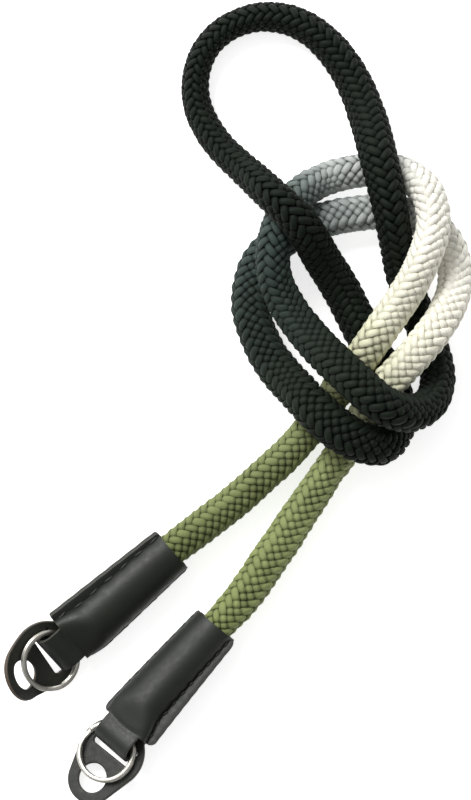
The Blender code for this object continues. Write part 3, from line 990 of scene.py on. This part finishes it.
def tab_outline():
    """A leaf: two round ends of different size with straight sides that touch both."""
    touch = math.degrees(math.acos((TAB_FRONT_RADIUS - TAB_BACK_RADIUS) / TAB_BACK_CENTRE))
    back = arc(TAB_BACK_CENTRE, TAB_BACK_RADIUS, -touch, touch, TAB_BACK_STEPS)
    front = arc(0.0, TAB_FRONT_RADIUS, touch, 360 - touch, TAB_FRONT_STEPS)
    return back + front


def tab_slot():
    near, far = TAB_SLOT
    corner = TAB_SLOT_CORNER
    half = TAB_SLOT_HALF
    quarter = [(near + corner, half), (near, half - corner), (near, corner - half), (near + corner, -half)]
    return quarter + [(near + far - u, -v) for u, v in quarter]


def bent_point(bends, along, across, above):
    """A point of the flat tab after bending, its creases rounded off, in the leather end's directions."""
    steps = np.linspace(0.0, along, TAB_BEND_PLACES)
    pitch = np.full(TAB_BEND_PLACES, bends[0][1])
    for (crease, before), (_, after) in zip(bends, bends[1:]):
        share = np.clip((steps - crease) / (2 * TAB_CREASE_HALF) + 0.5, 0, 1)
        pitch += (after - before) * share
    pitch = np.radians((pitch[1:] + pitch[:-1]) / 2)
    step = along / (TAB_BEND_PLACES - 1)
    tilt = pitch[-1]
    forward = step * np.cos(pitch).sum() - above * math.sin(tilt)
    height = step * np.sin(pitch).sum() + above * math.cos(tilt)
    return Vector((-forward, across, height))


def tab_mesh(name, end):
    hole = arc(0.0, TAB_HOLE_RADIUS, 0, 360 - 360 / TAB_HOLE_POINTS, TAB_HOLE_POINTS - 1)
    loops = [tab_outline(), hole, tab_slot()]
    flat = [point for loop in loops for point in loop]
    shape = bmesh.new()
    layers = []
    for height in (-TAB_THICKNESS / 2, TAB_THICKNESS / 2):
        layers.append([shape.verts.new((u, v, height)) for u, v in flat])
    lower, upper = layers
    for face in tessellate_polygon([[Vector((u, v, 0)) for u, v in loop] for loop in loops]):
        shape.faces.new([upper[k] for k in face])
        shape.faces.new([lower[k] for k in reversed(face)])
    first = 0
    for loop in loops:
        for step in range(len(loop)):
            k, after = first + step, first + (step + 1) % len(loop)
            side = shape.faces.new((lower[k], lower[after], upper[after], upper[k]))
            side.material_index = 1
        first += len(loop)
    bmesh.ops.recalc_face_normals(shape, faces=shape.faces)
    rims = [edge for edge in shape.edges if len({face.material_index for face in edge.link_faces}) == 2]
    rounding = {"offset": TAB_EDGE_ROUNDING, "segments": TAB_EDGE_SEGMENTS, "profile": 0.5}
    bmesh.ops.bevel(shape, geom=rims, affect="EDGES", **rounding)
    for cut in np.arange(-TAB_FRONT_RADIUS, TAB_BACK_CENTRE + TAB_BACK_RADIUS, TAB_CUT_STEP):
        everything = shape.verts[:] + shape.edges[:] + shape.faces[:]
        plane = {"plane_co": (cut, 0, 0), "plane_no": (1, 0, 0), "dist": 1e-5}
        bmesh.ops.bisect_plane(shape, geom=everything, **plane)
    turn = Matrix.Rotation(math.radians(end["tab_turn"]), 3, "Z")
    middle = Vector((sum(TAB_SLOT) / 2 - TAB_PIVOT, 0, 0))
    for vert in shape.verts:
        u, v, height = vert.co
        vert.co = (middle + turn @ (bent_point(end["tab_bends"], TAB_PIVOT - u, v, height) - middle)) * MM
    mesh = bpy.data.meshes.new(name)
    shape.to_mesh(mesh)
    shape.free()
    mesh.shade_smooth()
    mesh.set_sharp_from_angle(angle=math.radians(TAB_SHARP))
    return mesh


def add_tab(key, end, leather, edge):
    mesh = tab_mesh("tab_" + key, end)
    mesh.transform(end_matrix(end) @ Matrix.Translation((end["tab_back"] * MM, 0, TAB_HEIGHT * MM)))
    tab = new_object("leather_tab_" + key, mesh, leather, edge)
    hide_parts("tab_" + key)
    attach(tab, "strap")


def ring_mesh(name, split_at):
    """Two flat turns of one wire, joined by a short ramp, forward of where the ring hangs in the fold."""
    middle = (RING_OUTER + RING_INNER) / 2
    wide, high = (RING_OUTER - RING_INNER) / 2, RING_TURN / 2
    section = []
    for degrees in np.arange(0, 360, 360 / RING_SECTION_POINTS):
        across, up = math.cos(math.radians(degrees)), math.sin(math.radians(degrees))
        power = RING_SECTION_POWER
        swell = (abs(across) ** power + abs(up) ** power) ** (-1 / power)
        section.append((wide * across * swell, high * up * swell))
    rise = (RING_TURN + RING_TURN_GAP) / 2
    stations = np.linspace(*RING_WIRE, RING_WIRE_PLACES)
    forward = middle - RING_PIVOT_INSET
    points = []
    for degrees in stations:
        level = rise * (2 * blend(degrees, *RING_RAMP) - 1)
        turn = math.radians(degrees + split_at)
        for across, up in section:
            radius = middle + across
            points.append((-forward + radius * math.cos(turn), radius * math.sin(turn), level + up))
    return mesh_from(name, points, tube_faces(len(stations), len(section)))


def steel_material():
    nodes = Nodes("ring_steel")
    wear = nodes.noise(300.0)
    tint = nodes.mix("MIX", nodes.spread(wear, 0.35, 0.65), *STEEL_COLORS)
    rough = nodes.spread(wear, 0.3, 0.7, *STEEL_ROUGHNESS)
    nodes.set(Base_Color=tint, Metallic=1.0, Roughness=rough)
    return nodes.material


def add_ring(key, end, steel):
    mesh = ring_mesh("ring_" + key, end["ring_split_at"])
    turned = Euler((0, math.radians(end["ring_pitch"]), math.radians(end["ring_turn"])), "XYZ")
    place = Matrix.Translation((end["ring_back"] * MM, 0, RING_HEIGHT * MM))
    mesh.transform(end_matrix(end) @ place @ turned.to_matrix().to_4x4())
    ring = new_object("split_ring_" + key, mesh, steel)
    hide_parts("ring_" + key)
    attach(ring, "ring_" + key)


def add_ends():
    leather = {kind: leather_material(kind + "_leather", **look) for kind, look in LEATHERS.items()}
    edge = {kind: edge_material(kind + "_edge", color) for kind, color in EDGE_COLORS.items()}
    thread = thread_material()
    steel = steel_material()
    for key, end in ENDS.items():
        add_sleeve(key, end, leather["sleeve"], edge["sleeve"])
        add_stitches(key, end, thread)
        add_tab(key, end, leather["tab"], edge["tab"])
        add_ring(key, end, steel)


# Floor and light.


def add_floor():
    nodes = Nodes("floor")
    faint = nodes.mix("MIX", nodes.noise(20.0), *FLOOR_COLORS)
    nodes.set(Base_Color=faint, Roughness=0.9)
    nodes.set(Emission_Color=(1.0, 1.0, 1.0, 1.0), Emission_Strength=FLOOR_GLOW)
    half = FLOOR_HALF / MM
    points = [(x * half, y * half, 0.0) for x, y in ((-1, -1), (1, -1), (1, 1), (-1, 1))]
    floor = new_object("floor", mesh_from("floor", points, [(0, 1, 2, 3)]), nodes.material)
    floor.location.z = -FLOOR_DROP * MM


def add_sun(name, azimuth, elevation, spread, strength):
    data = bpy.data.lights.new(name, "SUN")
    data.angle = math.radians(spread)
    data.energy = strength
    light = bpy.data.objects.new(name, data)
    light.rotation_euler = (0.0, math.radians(90 - elevation), math.radians(azimuth))
    bpy.context.scene.collection.objects.link(light)


def add_lights():
    """A soft key light from the upper left, in a room that is brightest low on the same side."""
    add_sun("key", azimuth=124, elevation=42, spread=28, strength=2.9)
    add_sun("fill", azimuth=-50, elevation=50, spread=60, strength=0.25)
    azimuth, elevation = (math.radians(angle) for angle in ROOM_BRIGHTEST)
    world = bpy.data.worlds.new("studio")
    world.use_nodes = True
    tree = world.node_tree
    toward = tree.nodes.new("ShaderNodeVectorMath")
    toward.operation = "DOT_PRODUCT"
    tree.links.new(tree.nodes.new("ShaderNodeTexCoord").outputs["Generated"], toward.inputs[0])
    level = math.cos(elevation)
    level_way = (level * math.cos(azimuth), level * math.sin(azimuth))
    toward.inputs[1].default_value = (*level_way, math.sin(elevation))
    bright = tree.nodes.new("ShaderNodeMapRange")
    tree.links.new(toward.outputs["Value"], bright.inputs["Value"])
    for name, number in zip(MAP_RANGE_INPUTS, ROOM_COSINES + ROOM_STRENGTHS):
        bright.inputs[name].default_value = number
    tree.links.new(bright.outputs["Result"], tree.nodes["Background"].inputs["Strength"])
    tree.nodes["Background"].inputs["Color"].default_value = (1.0, 1.0, 1.0, 1.0)
    bpy.context.scene.world = world
    bpy.context.scene.view_settings.view_transform = "Standard"


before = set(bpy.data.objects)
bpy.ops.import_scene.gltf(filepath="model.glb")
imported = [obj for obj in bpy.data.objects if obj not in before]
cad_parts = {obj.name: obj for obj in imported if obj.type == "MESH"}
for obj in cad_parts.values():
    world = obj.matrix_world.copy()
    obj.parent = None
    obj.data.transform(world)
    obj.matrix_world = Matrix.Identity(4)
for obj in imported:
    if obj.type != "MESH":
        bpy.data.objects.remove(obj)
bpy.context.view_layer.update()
add_camera()
add_rope()
add_ends()
add_floor()
add_lights()
